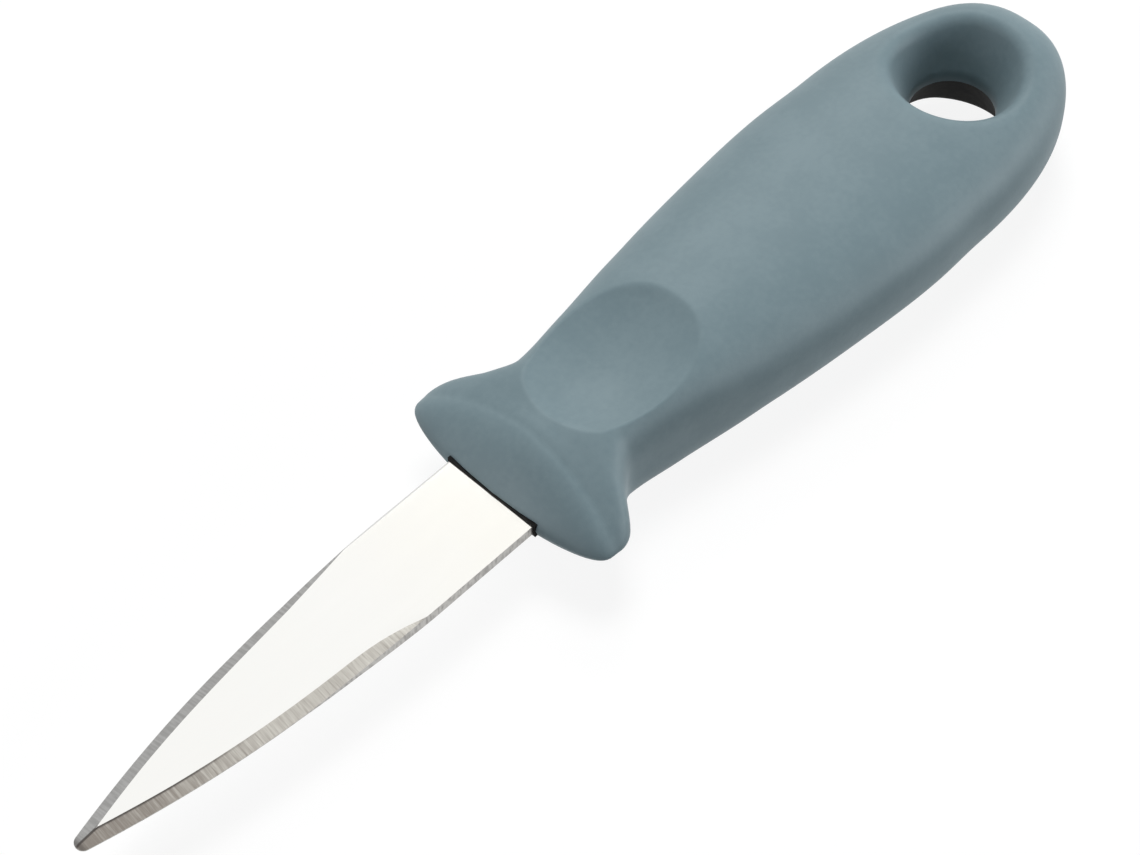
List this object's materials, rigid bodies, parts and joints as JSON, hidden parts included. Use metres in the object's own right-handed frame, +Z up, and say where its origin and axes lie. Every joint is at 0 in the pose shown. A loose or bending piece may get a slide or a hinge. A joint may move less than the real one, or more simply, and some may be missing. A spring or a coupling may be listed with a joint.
{
  "type": "oyster knife",
  "caption": "Oyster knife with a short ground steel blade, a hard core moulded round the tang, and a soft grip with flared guard, thumb hollows and hanging hole.",
  "frame": {"origin": "centre of the overall box, on the surface that the knife lies on", "axes": "+X along the knife from the blade's tip to the butt, +Y across the blade, +Z up from the surface through the blade's flat"},
  "size_m": [0.165, 0.0326, 0.0176],
  "materials": {
    "blade_steel": "polished flats with coarser ground bevels",
    "core_plastic": "moulded black",
    "soft_grip": "matte blue-grey soft touch"
  },
  "bodies": {
    "root": {"blade": "blade_steel", "handle_core": "core_plastic", "grip": "soft_grip"}
  },
  "joints": []
}
